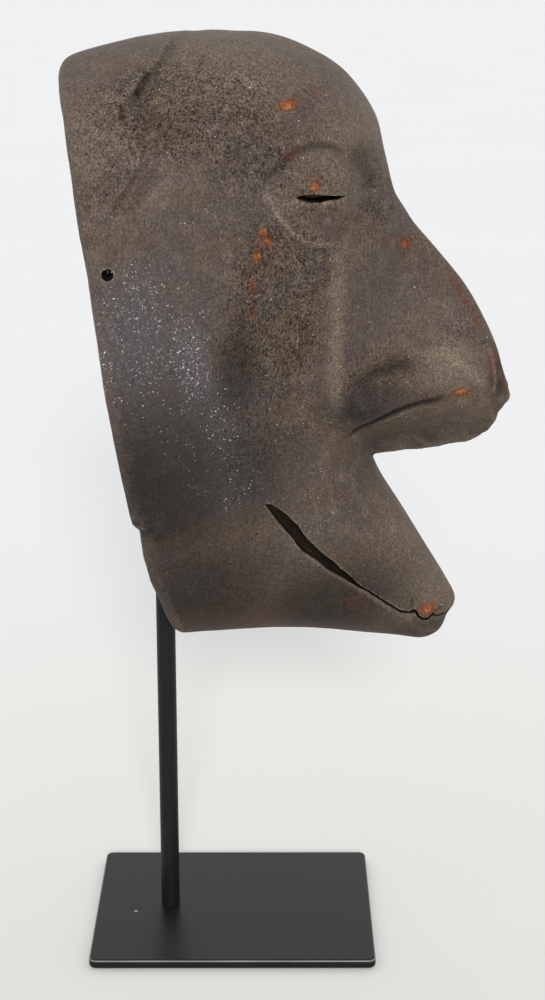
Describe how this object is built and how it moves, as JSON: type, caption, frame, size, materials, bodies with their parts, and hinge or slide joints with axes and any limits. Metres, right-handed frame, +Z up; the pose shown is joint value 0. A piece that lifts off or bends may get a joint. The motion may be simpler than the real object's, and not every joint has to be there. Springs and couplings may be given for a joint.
{
  "type": "hemba mask on a display stand",
  "caption": "Carved wooden face mask with a long nose and jutting lips, hollow at the back, held upright by a steel rod on a flat base plate.",
  "frame": {"origin": "middle of the base plate's underside", "axes": "+Z up, +X the way the mask faces, +Y to the mask's left; the XZ plane halves the part"},
  "size_m": [0.2221, 0.1799, 0.4724],
  "materials": {
    "wood": "dark worn patina, partly glossy",
    "black_paint": "satin black",
    "wire": "bare drawn steel"
  },
  "bodies": {
    "root": {"mask": "wood", "base_plate": "black_paint", "stand_rod": "black_paint", "hanging_wire": "wire"}
  },
  "joints": []
}
